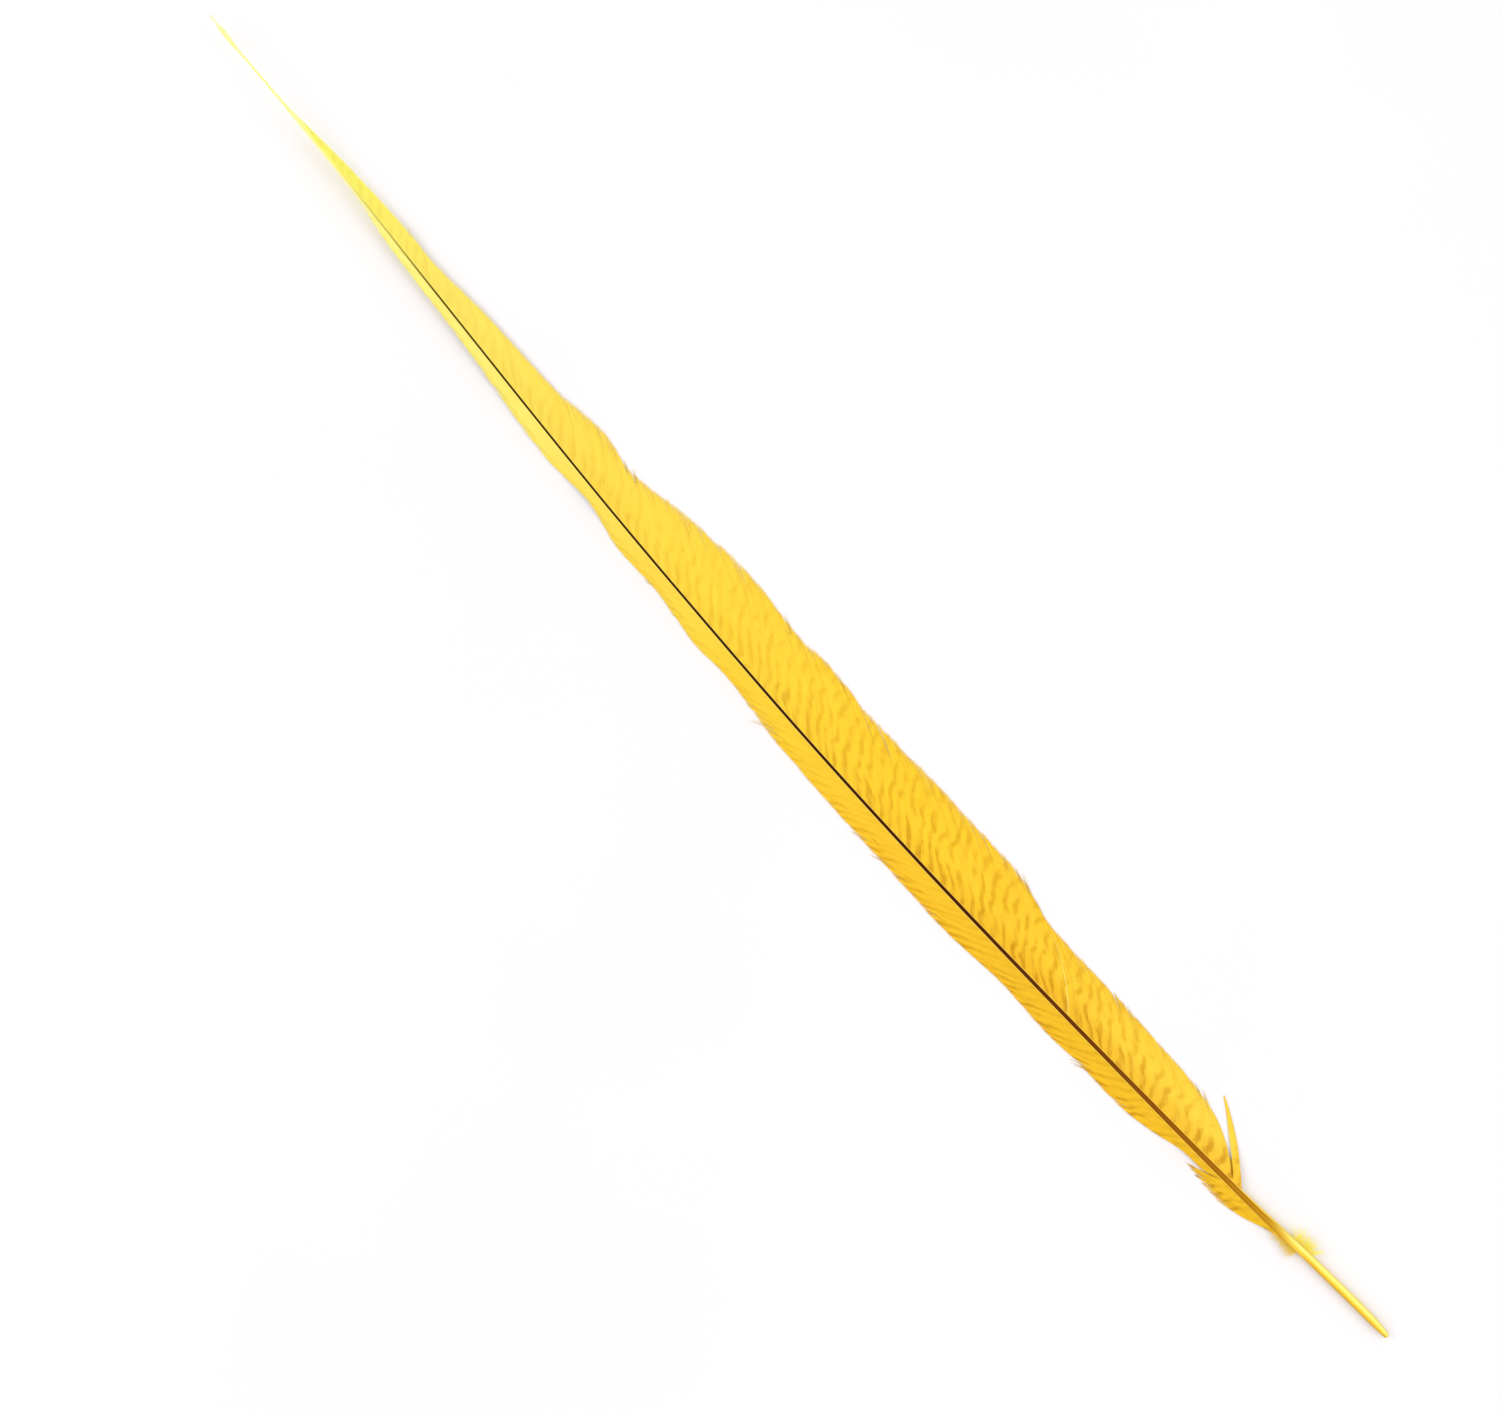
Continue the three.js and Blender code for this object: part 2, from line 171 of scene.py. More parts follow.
class Wire:
    """A socket of a node tree. Arithmetic on it adds Math nodes, and add makes any other node."""

    def __init__(self, tree, socket=None):
        self.tree = tree
        self.socket = socket

    def add(self, kind, settings=None, inputs=None, output=0):
        node = self.tree.nodes.new(kind)
        for name, value in (settings or {}).items():
            if name == "stops":
                while len(node.color_ramp.elements) < len(value):
                    node.color_ramp.elements.new(1)
                for element, (position, colour) in zip(node.color_ramp.elements, value):
                    element.position = position
                    element.color = colour
            else:
                setattr(node, name, value)
        for key, value in (inputs or {}).items():
            if isinstance(value, Wire):
                self.tree.links.new(value.socket, node.inputs[key])
            else:
                node.inputs[key].default_value = value
        return Wire(self.tree, node.outputs[output] if node.outputs else None)

    def out(self, output):
        return Wire(self.tree, self.socket.node.outputs[output])

    def math(self, operation, *terms):
        return self.add("ShaderNodeMath", {"operation": operation}, dict(enumerate(terms)))

    def __add__(self, other):
        return self.math("ADD", self, other)

    def __sub__(self, other):
        return self.math("SUBTRACT", self, other)

    def __rsub__(self, other):
        return self.math("SUBTRACT", other, self)

    def __mul__(self, other):
        return self.math("MULTIPLY", self, other)

    def __truediv__(self, other):
        return self.math("DIVIDE", self, other)

    __radd__ = __add__
    __rmul__ = __mul__

    def parts(self):
        split = self.add("ShaderNodeSeparateXYZ", None, {0: self})
        return [split.out(i) for i in range(3)]

    def attribute(self, name):
        return self.add("ShaderNodeAttribute", {"attribute_name": name}, output=1)

    def vector(self, x, y, z=0.0):
        return self.add("ShaderNodeCombineXYZ", None, {0: x, 1: y, 2: z})

    def noise(self, vector, detail=2.0):
        return self.add("ShaderNodeTexNoise", None, {"Vector": vector, "Scale": 1.0, "Detail": detail})

    def step(self, low, high):
        """Rises smoothly from 0 at low to 1 at high."""
        settings = {"interpolation_type": "SMOOTHSTEP"}
        return self.add("ShaderNodeMapRange", settings, {0: self, 1: low, 2: high, 3: 0.0, 4: 1.0})

    def ramp(self, *stops):
        return self.add("ShaderNodeValToRGB", {"stops": stops}, {0: self})

    def between(self, none, full, how="MIX"):
        """A colour that goes from none to full as this mask goes from 0 to 1."""
        settings = {"data_type": "RGBA", "blend_type": how}
        return self.add("ShaderNodeMix", settings, {0: self, 6: none, 7: full}, output=2)

    def bump(self, height, distance, strength):
        inputs = {"Height": height, "Distance": distance, "Strength": strength}
        return self.add("ShaderNodeBump", None, inputs)

    def surface(self, **sockets):
        inputs = {name.replace("_", " "): value for name, value in sockets.items()}
        shader = self.add("ShaderNodeBsdfPrincipled", None, inputs)
        self.add("ShaderNodeOutputMaterial", None, {"Surface": shader})


def srgb(red, green, blue):
    """A colour in linear light from the red, green and blue of a screen, 0 to 255."""
    share = np.array([red, green, blue]) / 255
    linear = np.where(share <= 0.04045, share / 12.92, ((share + 0.055) / 1.055) ** 2.4)
    return (*linear.tolist(), 1.0)


def grey(value):
    return (value, value, value, 1)


def new_material(name):
    material = bpy.data.materials.new(name)
    material.use_nodes = True
    material.node_tree.nodes.clear()
    return material, Wire(material.node_tree)


CLEAR_ENDS = (30, 48)
CLEAR_SLANT = 4.0
STRIPE_CENTRES = (46, 66)
STRIPE_SHIFT = 0.2
STRIPE_BLUR = 0.09
STRIPE_BEGINS_UP = (-0.15, 0.25)
STRIPE_EDGE_SHADE_BEGINS = (40, 60)
STRIPE_EDGE_SHADE_ENDS = (90, 130)
STRIPE_EDGE_SHADE_ACROSS = (0.15, 0.5)
STRIPE_EDGE_SHADE_DEPTH = 0.8
STRIPE_EDGE_SHADE_COLOUR = (0.66, 0.55, 0.2, 1)
GRAIN_ALONG = 0.12
GRAIN_ROUND = 3.0
GRAIN_DEPTH = 0.22
GRAIN_SHADE = (0.55, 0.3, 0.06, 1)
GRAIN_RELIEF = 0.00006


def keratin_material():
    """Clear yellow quill with a painted highlight and painted shade, then a brown stripe along the back
    between pale sides.
    """
    material, wire = new_material("dyed_keratin")
    station, across, up = wire.attribute("shaft_place").parts()
    along = station / LENGTH
    back = along.ramp(
        (0.0, srgb(250, 222, 96)), (0.072, srgb(250, 218, 88)), (0.084, srgb(214, 162, 36)),
        (0.098, srgb(192, 139, 18)), (0.115, srgb(188, 129, 10)), (0.13, srgb(172, 112, 4)),
        (0.145, srgb(162, 102, 4)), (0.18, srgb(143, 82, 3)), (0.24, srgb(104, 48, 0)),
        (0.34, srgb(70, 22, 0)), (0.48, srgb(56, 20, 0)), (0.74, srgb(54, 30, 0)),
        (0.8, srgb(96, 74, 8)), (0.86, srgb(214, 200, 86)), (0.9, srgb(250, 246, 128)),
    )
    side = along.ramp(
        (0.0, srgb(236, 198, 70)), (0.08, srgb(240, 202, 66)), (0.11, srgb(246, 212, 80)),
        (0.16, srgb(246, 208, 70)), (0.3, srgb(252, 222, 86)), (0.7, srgb(254, 236, 110)),
        (0.9, srgb(252, 250, 140)),
    )
    stripe_width = along.ramp(
        (0.085, grey(1)), (0.1, grey(0.72)), (0.3, grey(0.7)), (0.42, grey(0.68)), (0.86, grey(0.66))
    )
    shift = (1 - station.step(*STRIPE_CENTRES)) * STRIPE_SHIFT
    edge = across.math("ABSOLUTE", across - shift)
    stripe = 1 - (edge - stripe_width).step(-STRIPE_BLUR, STRIPE_BLUR)
    stripe = stripe * up.step(*STRIPE_BEGINS_UP)
    horn = stripe.between(side, back)
    # Painted shade: on the lower shaft the brown stripe darkens towards its edges, as the sides of a
    # round shaft do.
    stripe_edge_shade = edge.step(*STRIPE_EDGE_SHADE_ACROSS) * stripe
    stripe_edge_shade = stripe_edge_shade * station.step(*STRIPE_EDGE_SHADE_BEGINS) * (1 - station.step(*STRIPE_EDGE_SHADE_ENDS))
    horn = (stripe_edge_shade * STRIPE_EDGE_SHADE_DEPTH).between(horn, STRIPE_EDGE_SHADE_COLOUR, "MULTIPLY")

    clear = 1 - (station + across * CLEAR_SLANT).step(*CLEAR_ENDS)
    # Over the quill's clear yellow: a painted highlight towards its wide side and painted shade towards
    # its narrow side.
    quill_painted_light = (across * 0.5 + 0.5).ramp(
        (0.0, srgb(222, 192, 84)), (0.14, srgb(242, 230, 126)), (0.36, srgb(252, 246, 130)),
        (0.52, srgb(250, 230, 96)), (0.68, srgb(243, 203, 58)), (0.86, srgb(228, 184, 52)),
        (1.0, srgb(202, 154, 38)),
    )
    horn = clear.between(horn, quill_painted_light)

    grain_place = wire.vector(station * GRAIN_ALONG, across * GRAIN_ROUND, up * GRAIN_ROUND)
    grain = wire.noise(grain_place, detail=3.0)
    horn = (grain.step(0.35, 0.75) * GRAIN_DEPTH).between(horn, GRAIN_SHADE, "MULTIPLY")
    wire.surface(
        Base_Color=horn,
        Roughness=grain * 0.18 + 0.24,
        Normal=wire.bump(grain, distance=GRAIN_RELIEF, strength=0.35),
        Specular_IOR_Level=0.05,
    )
    return material


shaft_piece = bpy.data.objects.new("shaft_keratin", shaft_mesh())
shaft_piece.data.materials.append(keratin_material())
bpy.context.scene.collection.objects.link(shaft_piece)
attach(shaft_piece, "root")
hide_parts("shaft")


# The wide vane
# A web of barbs on the wide side of the shaft. Each barb is a thin horny blade that leans towards the tip
# and hooks into its neighbours. The web has parted along one barb, and a lock at its foot stands loose.

VANE_GAP = 0.08
VANE_THICKNESS = 0.45
TIP_THICKNESS = 0.2
SPRING_SHARE = 0.25
TOUCH_SHARE = 0.72
ARCH_POWER = 1.3
STEEPEST_FALL = 0.9
LOCK_DOME = 0.16
ROOT_SINK = 0.3
ROOT_JITTER = 0.08
BARB_OVERLAP = 1.55
BARB_SIDES = 4
BARB_FLATNESS = 0.24
SHINGLE_TILT = np.radians(9)
LEAST_HALF_WIDTH = 0.05
WIDEST_REACH = 20.0
REACH_HALVINGS = 24
REACH_SPREAD = 0.009
SLOPE_STEP = 0.1
STEEPEST_TILT = np.radians(62)
LEAST_LOCK = 0.1
LOCK_SWEEP = 0.07
LOCK_REACH_SPREAD = 0.006
LOCK_RISE = (-0.02, 0.07)
PULL_RISES = (0.5, 1)
SWEEPING_REACH = 8
LEAST_SWEEP = 0.05
FRAY = 0.16
FRAYING_REACH = 6
LEAST_FRAY = 0.1
PARTING_SPREAD = 4.0
PARTING_MOVES = (-1.0, 0.2)
PARTING_RIM = 0.2
TIP_CLEARANCE = 0.4
STRAY_BARBS = 2
STRAY_SHARES = (0.5, 1)
STRAY_LIFT = 0.15
STRAY_THINNING = 0.7
STRAY_THINS = (0.78, 0.95)
END_TAPER = 0.35
END_TAPERS = (0.85, 1)
END_CAP_SHARE = 0.4
SHORT_BARB_WIDTH = 0.35
DOME_RISES = (0.05, 0.5)
DOME_FALL = 0.6
DOME_FALLS = (0.7, 1)
TONE_SPREAD = 0.22
LOCK_TONE_SHARE = 0.12
PARTING_HIGHLIGHT = 2.0
DARKENED = -1.0

margin_lift = profile((300, 0), (380, 1.1), (440, 2.9), (LENGTH, 6.2))
angle_share = profile((320, 1), (430, 0.6), (475, 0.35), (LENGTH, 0.25))


def smooth(value, low, high):
    """Rises smoothly from 0 at low to 1 at high."""
    t = np.clip((value - low) / (high - low), 0, 1)
    return t * t * (3 - 2 * t)


def side_of(station):
    return shaft_half_width(station) + VANE_GAP


def barb_arc(root_angle, edge_angle, share):
    """A barb's run towards the tip and out from the shaft, as multiples of its reach, and its lean."""
    root, edge = np.radians(root_angle), np.radians(edge_angle)
    lean = root + (edge - root) * share
    span = np.cos(edge) - np.cos(root)
    return (np.sin(root) - np.sin(lean)) / span, (np.cos(lean) - np.cos(root)) / span, lean


def reach_from(margin, roots, run_per_reach):
    """How far out the barb from each root station gets before it meets the margin."""
    low = np.zeros_like(roots)
    high = np.full_like(roots, WIDEST_REACH)
    for _ in range(REACH_HALVINGS):
        middle = (low + high) / 2
        station = roots + run_per_reach * middle
        inside = margin(station) - side_of(station) > middle
        low = np.where(inside, middle, low)
        high = np.where(inside, high, middle)
    return low


def vane_height(margin, station, outward, share):
    """The middle of a vane's thickness: it arches down from the shaft and lies flat along its margin."""
    reach = np.maximum(margin(station) - side_of(station), outward)
    slope = 1 - np.clip(outward / (reach * TOUCH_SHARE), 0, 1)
    root = shaft_height(station) + SPRING_SHARE * shaft_half_height(station)
    lift = np.maximum(margin_lift(station), root - STEEPEST_FALL * reach)
    arch = lift + (root - lift) * slope ** ARCH_POWER
    thickness = VANE_THICKNESS + (TIP_THICKNESS - VANE_THICKNESS) * share
    return np.maximum(0, arch - VANE_THICKNESS / 2) + thickness / 2


def blade_tilt(margin, station, outward, share, lean):
    """How far a barb's blade turns about its own length to lie in the slope of its vane."""
    middle = np.maximum(outward, SLOPE_STEP)
    outer = vane_height(margin, station, middle + SLOPE_STEP, share)
    inner = vane_height(margin, station, middle - SLOPE_STEP, share)
    slope = (outer - inner) / (2 * SLOPE_STEP)
    level = np.hypot(np.sin(lean) * (1 + slope**2), np.cos(lean))
    return np.clip(np.arctan2(slope * np.cos(lean), level), -STEEPEST_TILT, STEEPEST_TILT)


def locks_of(roots, seams, clump, random):
    """Gathers barbs into locks between seams: each lock's middle, and how it differs from the others."""
    lock = np.searchsorted(seams, roots)
    count = lock.max() + 1
    middle = np.zeros(count)
    half = np.ones(count)
    for k in np.unique(lock):
        own_roots = roots[lock == k]
        middle[k] = own_roots.mean()
        half[k] = max(np.ptp(own_roots) / 2, LEAST_LOCK)
    pull = clump[0] + (clump[1] - clump[0]) * random.random(count) ** 2
    sweep = random.normal(0, LOCK_SWEEP, count)
    reach = random.normal(1, LOCK_REACH_SPREAD, count)
    rise = random.uniform(*LOCK_RISE, count)
    tone = random.uniform(-1, 1, count)
    return {
        "middle": middle[lock],
        "dome": 1 - ((roots - middle[lock]) / half[lock]) ** 2,
        "pull": pull[lock],
        "sweep": sweep[lock],
        "reach": reach[lock],
        "rise": rise[lock],
        "tone": tone[lock],
    }


def barb_lines(vane, roots, locks, steps, spacing, random, strays=(), parting=None):
    """The middle line of every barb of a comb, with its half width, twist, place on the vane and tone."""
    share = np.linspace(0, 1, steps + 1)[None, :]
    slim = angle_share(roots)[:, None]
    forward, outward, lean = barb_arc(vane["root_angle"] * slim, vane["edge_angle"] * slim, share)
    count = len(roots)
    reach = reach_from(vane["margin"], roots, forward[:, -1])
    reach = reach * locks["reach"] * random.normal(1, REACH_SPREAD, count)
    tips = roots + forward[:, -1] * reach
    stray = np.zeros(count)
    for tip_station, beyond in strays:
        nearest = np.argsort(np.abs(tips - tip_station))[:STRAY_BARBS]
        stray[nearest] = beyond * random.uniform(*STRAY_SHARES, STRAY_BARBS)
    pull = locks["pull"][:, None] * (locks["middle"] - roots)[:, None] * smooth(share, *PULL_RISES)
    sweep = locks["sweep"][:, None] * share**2
    sweep = sweep * np.clip(reach / SWEEPING_REACH, LEAST_SWEEP, 1)[:, None]
    fray = random.normal(0, FRAY, count)[:, None] * share**4
    fray = fray * np.clip(reach / FRAYING_REACH, LEAST_FRAY, 1)[:, None]
    station = roots[:, None] + pull + sweep + fray + forward * reach[:, None]
    if parting is not None:
        split, root_gap, edge_gap = parting
        near = np.exp(-np.abs(split - roots) / PARTING_SPREAD)[:, None]
        move = np.where(roots < split, *PARTING_MOVES)[:, None]
        station = station + move * near * (root_gap + (edge_gap - root_gap) * share)
    station = np.minimum(station, LENGTH - TIP_CLEARANCE)
    out = outward * reach[:, None] - ROOT_SINK * (1 - share) ** 8
    out = out + stray[:, None] * share**6
    height = vane_height(vane["margin"], station, np.maximum(out, 0), share)
    dome = (LOCK_DOME * locks["dome"] + locks["rise"])[:, None]
    dome_falls = 1 - DOME_FALL * smooth(share, *DOME_FALLS)
    height = height + dome * smooth(share, *DOME_RISES) * dome_falls
    height = height + stray[:, None] * STRAY_LIFT * share**5
    points = placed(station, vane["side"] * (side_of(station) + out), height)
    taper = 1 - END_TAPER * smooth(share, *END_TAPERS)
    taper = taper * np.clip(reach, SHORT_BARB_WIDTH, 1)[:, None]
    thinned = 1 - STRAY_THINNING * (stray > 0)[:, None] * smooth(share, *STRAY_THINS)
    tilt = blade_tilt(vane["margin"], station, out, share, lean)
    level_width = BARB_OVERLAP * spacing * np.sin(lean) / 2 * taper * thinned
    half_width = np.maximum(level_width / np.cos(tilt), LEAST_HALF_WIDTH)
    half_width[:, -1] *= END_CAP_SHARE
    tone = 0.5 + TONE_SPREAD * random.normal(0, 1, count) + LOCK_TONE_SHARE * locks["tone"]
    tone = np.clip(tone, 0, 1)
    tone[stray > 0] = DARKENED
    # The barb at the edge of the parting gets a painted highlight.
    if parting is not None:
        tone[np.argmin(np.abs(roots - split - PARTING_RIM))] = PARTING_HIGHLIGHT
    return {
        "points": points,
        "half_width": half_width,
        "twist": vane["side"] * (SHINGLE_TILT + tilt),
        "place": np.stack(np.broadcast_arrays(station, out, share), axis=-1),
        "tone": tone,
    }


BAKE_HALF_STRIP = 0.46
BAKE_MARGIN = 0.01
BAKE_TURN = 0.004
LENS_RIM = 0.99


def fibre_tree():
    """Nodes that make each line of points a closed, tapering fibre with a lens-shaped section."""
    tree = bpy.data.node_groups.new("fibres_along_lines", "GeometryNodeTree")
    for name, kind in (
        ("Lines", "Geometry"), ("Section Sides", "Int"), ("Flatness", "Float"),
        ("Bake Strips", "Float"), ("Material", "Material"),
    ):
        tree.interface.new_socket(name, in_out="INPUT", socket_type="NodeSocket" + kind)
    tree.interface.new_socket("Fibres", in_out="OUTPUT", socket_type="NodeSocketGeometry")
    wire = Wire(tree)
    group = wire.add("NodeGroupInput")
    lines, sides, flatness, strips, material = (group.out(i) for i in range(5))

    def named(name, kind):
        return wire.add("GeometryNodeInputNamedAttribute", {"data_type": kind}, {"Name": name})

    rail = wire.add("GeometryNodeMeshToCurve", None, {"Mesh": lines})
    rail = wire.add("GeometryNodeSetCurveNormal", {"mode": "Z_UP"}, {"Curve": rail})
    rail = wire.add("GeometryNodeSetCurveTilt", None, {"Curve": rail, "Tilt": named("twist", "FLOAT")})
    circle = wire.add("GeometryNodeCurvePrimitiveCircle", None, {"Resolution": sides, "Radius": 1.0})
    circle = wire.add(
        "GeometryNodeStoreNamedAttribute",
        {"data_type": "FLOAT_VECTOR", "domain": "POINT"},
        {"Geometry": circle, "Name": "section", "Value": wire.add("GeometryNodeInputPosition")},
    )
    lens = wire.add(
        "GeometryNodeTransform", None, {"Geometry": circle, "Scale": wire.vector(1.0, flatness, 1.0)}
    )
    sizes = {"Scale": named("half_width", "FLOAT"), "Fill Caps": True}
    skin = wire.add("GeometryNodeCurveToMesh", None, {"Curve": rail, "Profile Curve": lens, **sizes})
    across, up, _ = named("section", "FLOAT_VECTOR").parts()
    index, along, _ = named("fibre", "FLOAT_VECTOR").parts()
    bake_across = (index + 0.5 + across * BAKE_HALF_STRIP) / strips
    bake_along = along * (1 - 2 * BAKE_MARGIN) + BAKE_MARGIN + up * BAKE_TURN
    skin = wire.add(
        "GeometryNodeStoreNamedAttribute",
        {"data_type": "FLOAT2", "domain": "CORNER"},
        {"Geometry": skin, "Name": "OFBake", "Value": wire.vector(bake_across, bake_along)},
    )
    rim = across.math("GREATER_THAN", across.math("ABSOLUTE", across), LENS_RIM)
    skin = wire.add(
        "GeometryNodeSetShadeSmooth",
        {"domain": "EDGE"},
        {"Geometry": skin, "Selection": rim, "Shade Smooth": False},
    )
    skin = wire.add("GeometryNodeRealizeInstances", None, {"Geometry": skin})
    skin = wire.add("GeometryNodeSetMaterial", None, {"Geometry": skin, "Material": material})
    wire.add("NodeGroupOutput", None, {0: skin})
    return tree


FIBRES = fibre_tree()


def fibre_piece(name, combs, sides, flatness, material, strips=None):
    """Grows a fibre along every line of the combs, as one mesh."""
    points = np.concatenate([comb["points"].reshape(-1, 3) for comb in combs])
    half_width = np.concatenate([comb["half_width"].ravel() for comb in combs])
    twist = np.concatenate([comb["twist"].ravel() for comb in combs])
    lengths = np.concatenate([np.full(len(c["points"]), c["points"].shape[1]) for c in combs])
    ends = np.cumsum(lengths)
    first = np.ones(len(points), bool)
    first[ends[:-1]] = False
    edges = np.stack([np.arange(len(points) - 1), np.arange(1, len(points))], axis=-1)[first[1:]]
    mesh = bpy.data.meshes.new(name)
    mesh.from_pydata(points, edges, [])
    index = np.repeat(np.arange(len(lengths)), lengths)
    tone = np.repeat(np.concatenate([comb["tone"] for comb in combs]), lengths)
    place = np.concatenate([comb["place"].reshape(-1, 3) for comb in combs])
    strips = strips or len(lengths)
    fibre = np.stack([index % strips, place[:, 2], tone], axis=-1)
    for title, kind, key, values in (
        ("half_width", "FLOAT", "value", half_width * MM),
        ("twist", "FLOAT", "value", twist),
        ("place", "FLOAT_VECTOR", "vector", place),
        ("fibre", "FLOAT_VECTOR", "vector", fibre),
    ):
        attribute = mesh.attributes.new(title, kind, "POINT")
        attribute.data.foreach_set(key, values.astype(np.float32).ravel())
    piece = bpy.data.objects.new(name, mesh)
    bpy.context.scene.collection.objects.link(piece)
    modifier = piece.modifiers.new("fibres", "NODES")
    modifier.node_group = FIBRES
    settings = {
        "Section Sides": sides, "Flatness": flatness, "Bake Strips": float(strips), "Material": material
    }
    for socket in FIBRES.interface.items_tree:
        if socket.name in settings:
            modifier[socket.identifier] = settings[socket.name]
    graph = bpy.context.evaluated_depsgraph_get()
    grown = bpy.data.meshes.new_from_object(piece.evaluated_get(graph))
    piece.modifiers.clear()
    piece.data = grown
    bpy.data.meshes.remove(mesh)
    return piece


FOOT_ENDS = (75, 130)
FOOT_BARE_FROM = (3.5, 9.0)
FOOT_BARENESS = 0.75
FOOT_UPRIGHTNESS = 0.5
MARK_SWAY = 1.8
MARK_WAVER = 0.6
MARK_EDGES = (0.22, 1.0)
MARK_BREAKS = (0.38, 0.6)
FAINTEST_MARK = 0.14
MARK_REACHES = (0.2, 0.95)
NEAR_SHAFT = (1.5, 6.0)
ROOT_SHADE_ENDS = (130, 230)
ROOT_SHADE = (0.94, 0.8, 0.4, 1)
ROOT_GAP_SHADE_DEPTH = 0.55
ROOT_GAP_SHADE_COLOUR = (0.42, 0.22, 0.02, 1)
PATCH_DEPTH = 0.35
PATCH_SHADE = (1.0, 0.9, 0.62, 1)
TONE_DEPTH = 0.16
TONE_SHADE = (0.86, 0.76, 0.5, 1)
PARTING_HIGHLIGHT_DEPTH = 0.55
DARKENED_DEPTH = 0.55


def barb_material(
    name, base, marks, mark_strength, mark_reach, mark_angle, mark_bend, mark_pitch, mark_seed, root_shade
):
    """Dyed barbs: a base colour along the feather, wavy marks, and painted shade between the barb roots.
    """
    material, wire = new_material(name)
    station, outward, share = wire.attribute("place").parts()
    _, _, tone = wire.attribute("fibre").parts()
    section, _, _ = wire.attribute("section").parts()
    along = station / LENGTH
    colour = along.ramp(*base)

    def mottling(line, fine_along, fine_out, layer, detail):
        place = wire.vector(line * fine_along, outward * fine_out, mark_seed + layer)
        return wire.noise(place, detail)

    ragged = (tone.add("ShaderNodeClamp", None, {0: tone}) - 0.5) * 0.5
    foot = 1 - station.step(*FOOT_ENDS)
    slant = (1 - foot * FOOT_UPRIGHTNESS) / float(np.tan(np.radians(mark_angle)))
    level = station - outward * (slant - outward * mark_bend)
    sway = mottling(level, fine_along=0.07, fine_out=0.16, layer=0.0, detail=1.0) - 0.5
    waver = mottling(level, fine_along=0.2, fine_out=0.42, layer=3.0, detail=1.0) - 0.5
    phase = (level + ragged) / mark_pitch + sway * MARK_SWAY + waver * MARK_WAVER
    stripe = (phase.math("COSINE", phase * (2 * np.pi)) * 0.5 + 0.5).step(*MARK_EDGES)
    breaks = mottling(level, fine_along=0.26, fine_out=0.26, layer=5.0, detail=2.0)
    mark = stripe * (breaks.step(*MARK_BREAKS) * (1 - FAINTEST_MARK) + FAINTEST_MARK)
    strength = along.ramp(*((place, grey(depth)) for place, depth in mark_strength))
    at_root, at_margin = mark_reach
    fade = share.step(*MARK_REACHES) * (at_margin - at_root) + at_root
    fade = fade * (1 - outward.step(*FOOT_BARE_FROM) * foot * FOOT_BARENESS)
    colour = (mark * strength * fade).between(colour, along.ramp(*marks))

    near = 1 - outward.step(*NEAR_SHAFT)
    dusk = near * (1 - station.step(*ROOT_SHADE_ENDS)) * root_shade
    colour = dusk.between(colour, ROOT_SHADE, "MULTIPLY")
    # Painted shade: one side of each barb near the shaft is darkened for the shade in the gaps between
    # the roots.
    shaded_barb_side = section.step(0.1, 0.75)
    root_gap_shade = near * shaded_barb_side * (stripe * 0.6 + 0.25) * strength.math("SQRT", strength)
    colour = (root_gap_shade * ROOT_GAP_SHADE_DEPTH).between(colour, ROOT_GAP_SHADE_COLOUR, "MULTIPLY")

    patch = mottling(station, fine_along=0.045, fine_out=0.12, layer=11.0, detail=2.0)
    colour = (patch.step(0.45, 0.75) * PATCH_DEPTH).between(colour, PATCH_SHADE, "MULTIPLY")
    colour = (tone.step(0.1, 0.9) * TONE_DEPTH).between(colour, TONE_SHADE, "MULTIPLY")
    # Painted highlight: the barb at the edge of the parting is painted paler.
    parting_highlight = tone.step(1.2, 1.5)
    colour = (parting_highlight * PARTING_HIGHLIGHT_DEPTH).between(colour, srgb(255, 232, 120))
    darkened = (1 - tone.step(-0.8, -0.2)) * share.step(0.75, 0.95)
    colour = (darkened * DARKENED_DEPTH).between(colour, srgb(160, 120, 30))
    wire.surface(
        Base_Color=colour,
        Roughness=breaks * 0.3 + 0.45,
        Specular_IOR_Level=0.12,
    )
    return material


wide_vane = {
    "side": -1,
    "root_angle": 44,
    "edge_angle": 15,
    "margin": profile(
        (80, 11.2), (88, 12.5), (113, 13.8), (135, 14.3), (152, 14.9), (165, 18), (200, 18.7),
        (232, 17.7), (243, 18.7), (260, 17.4), (280, 18.3), (305, 15.7), (328, 11.4), (339, 12.6),
        (356, 9.5), (384, 7.6), (407, 4.8), (418, 4.7), (441, 3), (461, 0.95), (470, 0.4),
        (486, 0.36), (492, 0.62), (497, 0.55), (LENGTH, 0.3),
    ),
}
loose_lock = {
    "side": -1,
    "root_angle": 43,
    "edge_angle": 30,
    "margin": profile((0, 16.2), (LENGTH, 16.2)),
}
short_barbs = {
    "side": -1,
    "root_angle": 44,
    "edge_angle": 34,
    "margin": profile((0, 5.2), (LENGTH, 5.2)),
}
LOOSE_FOOT = 58.9
SHORT_FOOT = 61.0
LOOSE_TOP = 61.5
WIDE_FOOT = 63.0
VANE_TOP = 495
LOOSE_SPACING = 0.4
WIDE_SPACING = 0.54
WIDE_STEPS = 15
WIDE_LOCKS = 60
WIDE_LOCK_WIDTHS = (4, 13)
WIDE_CLUMP = (0.0, 0.08)
LOOSE_CLUMP = (0.75, 0.75)
SHORT_CLUMP = (0.2, 0.2)
WIDE_PARTING = (128, 0.03, 0.32)
WIDE_STRAYS = (
    (86, 1.2), (89, 0.8), (118, 0.5), (124, 0.6), (158, 0.7), (166, 1.3), (169, 1.0), (244, 0.6),
    (267, 1.2), (326, 1.3), (330, 0.8), (419, 0.7),
)

